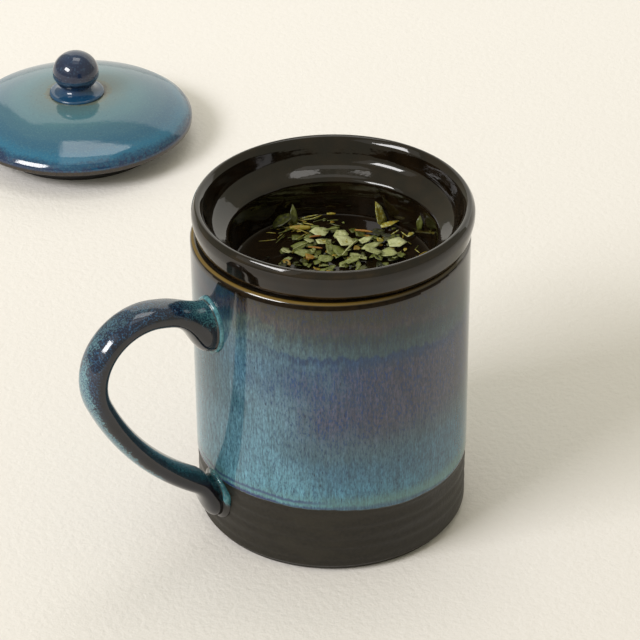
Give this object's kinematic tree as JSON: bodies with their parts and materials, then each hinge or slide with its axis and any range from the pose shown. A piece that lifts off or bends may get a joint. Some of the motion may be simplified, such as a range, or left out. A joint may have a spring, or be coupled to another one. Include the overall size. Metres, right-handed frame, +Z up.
{
  "type": "lidded tea mug with infuser",
  "caption": "Straight-sided stoneware tea mug with a looped handle, a hanging infuser cup with a drilled floor, and a domed lift-off lid with a ball knob.",
  "frame": {"origin": "centre of the mug's foot, on the table", "axes": "+Z up along the mug's axis, -X towards the handle, +Y towards the lid lying on the table"},
  "size_m": [0.1714, 0.3431, 0.1087],
  "materials": {
    "body_glaze": "glossy reactive glaze over dark clay",
    "handle_glaze": "glossy reactive glaze, pale where it runs thin",
    "infuser_glaze": "glossy black-brown glaze",
    "lid_glaze": "glossy reactive glaze over dark clay",
    "knob_glaze": "glossy dark blue glaze"
  },
  "bodies": {
    "mug": {"mug_body": "body_glaze", "handle": "handle_glaze"},
    "infuser_cup": {"infuser": "infuser_glaze"},
    "lid_cap": {"lid": "lid_glaze", "lid_knob": "knob_glaze"}
  },
  "joints": [
    {"name": "infuser_lift", "type": "slide", "parent": "mug", "child": "infuser_cup", "axis": [0, 0, 1], "range_m": [0, 0.09]},
    {"name": "lid_lift", "type": "slide", "parent": "mug", "child": "lid_cap", "axis": [0, 0, 1], "range_m": [0, 0.12]}
  ]
}
